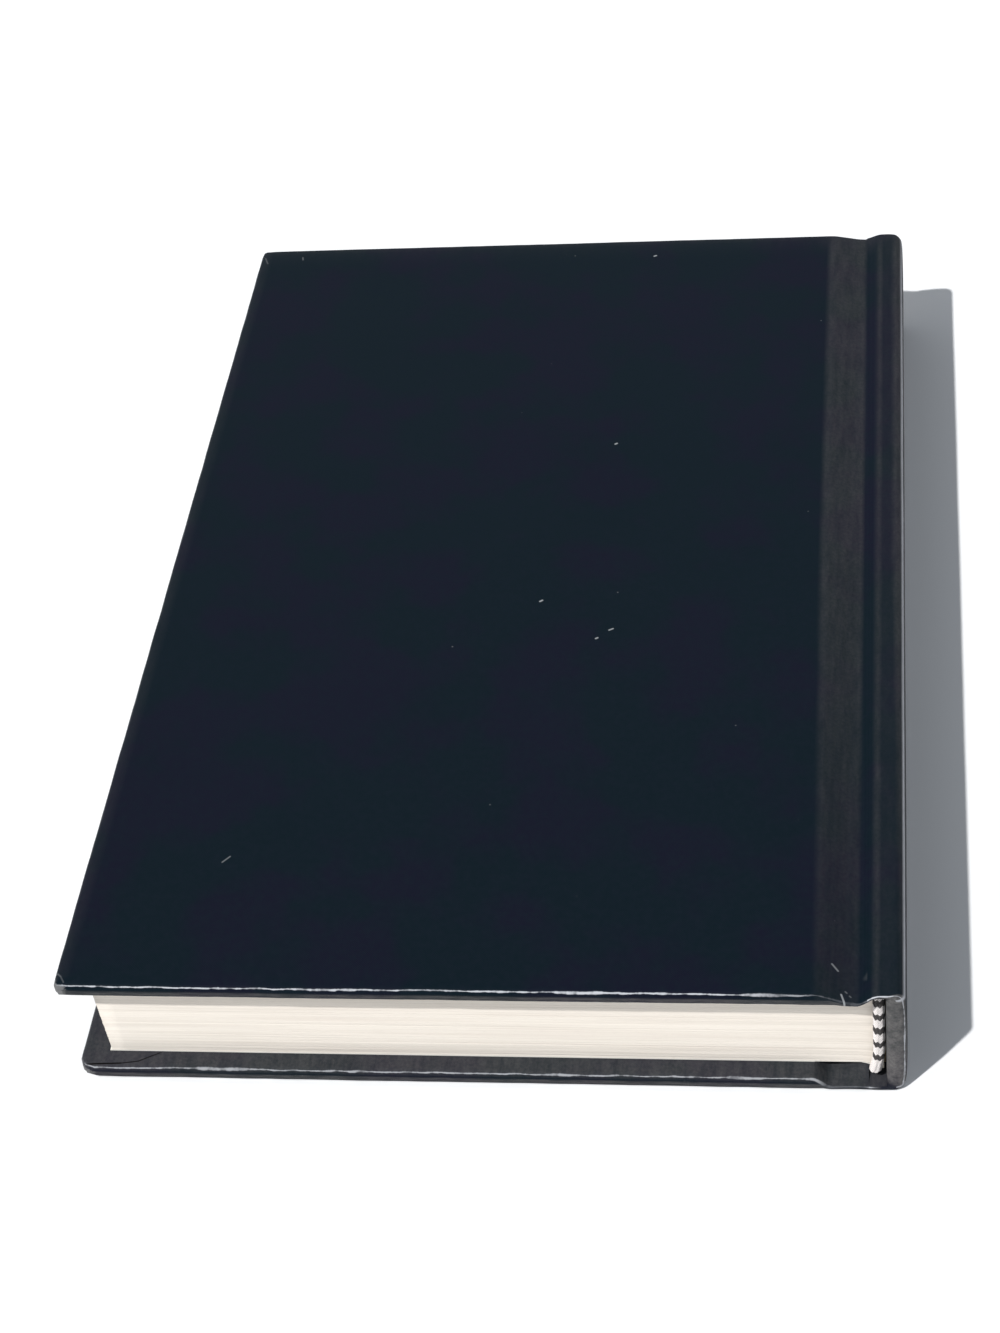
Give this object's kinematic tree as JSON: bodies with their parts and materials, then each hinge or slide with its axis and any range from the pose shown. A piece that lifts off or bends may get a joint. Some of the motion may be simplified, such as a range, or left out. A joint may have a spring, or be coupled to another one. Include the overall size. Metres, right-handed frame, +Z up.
{
  "type": "lined journal",
  "caption": "Hardcover lined journal in dark cloth, with stiff covers that open on cloth joints, a flat spine, sewn cream pages and striped bands.",
  "frame": {"origin": "middle of the closed journal's footprint, on the face of the back cover that it lies on", "axes": "+X from the fore-edge to the spine, +Y from the head to the tail, +Z up, from the back cover to the front cover"},
  "size_m": [0.1482, 0.224, 0.0254],
  "materials": {
    "book_cloth": "black woven book cloth with a faint blue cast, rubbed pale along its edges",
    "page_paper": "cream uncoated paper, ruled",
    "endpaper": "off-white uncoated paper",
    "grey_board": "grey book board",
    "gauze": "starched open gauze",
    "lining_paper": "brown paper",
    "band_tape": "woven cotton tape and cord",
    "dark_thread": "black band thread",
    "white_thread": "white band thread"
  },
  "bodies": {
    "pages_and_spine": {"text_block": "page_paper", "spine_mull": "gauze", "spine_lining": "lining_paper", "head_band_core": "band_tape", "head_band_dark_thread": "dark_thread", "head_band_white_thread": "white_thread", "head_band_tape": "band_tape", "tail_band_core": "band_tape", "tail_band_dark_thread": "dark_thread", "tail_band_white_thread": "white_thread", "tail_band_tape": "band_tape", "spine_board": "grey_board", "spine_cloth": "book_cloth"},
    "front_cover": {"front_board": "grey_board", "front_cover_cloth": "book_cloth", "front_mull_flap": "gauze", "front_pastedown": "endpaper", "front_joint_cloth": "book_cloth", "front_joint_lining": "gauze", "front_flyleaf": "endpaper"},
    "back_cover": {"back_board": "grey_board", "back_cover_cloth": "book_cloth", "back_mull_flap": "gauze", "back_pastedown": "endpaper", "back_joint_cloth": "book_cloth", "back_joint_lining": "gauze", "back_flyleaf": "endpaper"}
  },
  "joints": [
    {"name": "front_cover_hinge", "type": "hinge", "parent": "pages_and_spine", "child": "front_cover", "pos_m": [0.0669, 0, 0.0239], "axis": [0, 1, 0], "range_deg": [0, 180], "deforming": ["front_joint_cloth", "front_joint_lining", "front_flyleaf"]},
    {"name": "back_cover_hinge", "type": "hinge", "parent": "pages_and_spine", "child": "back_cover", "pos_m": [0.0669, 0, 0.0007], "axis": [0, -1, 0], "range_deg": [0, 180], "deforming": ["back_joint_cloth", "back_joint_lining", "back_flyleaf"]}
  ]
}
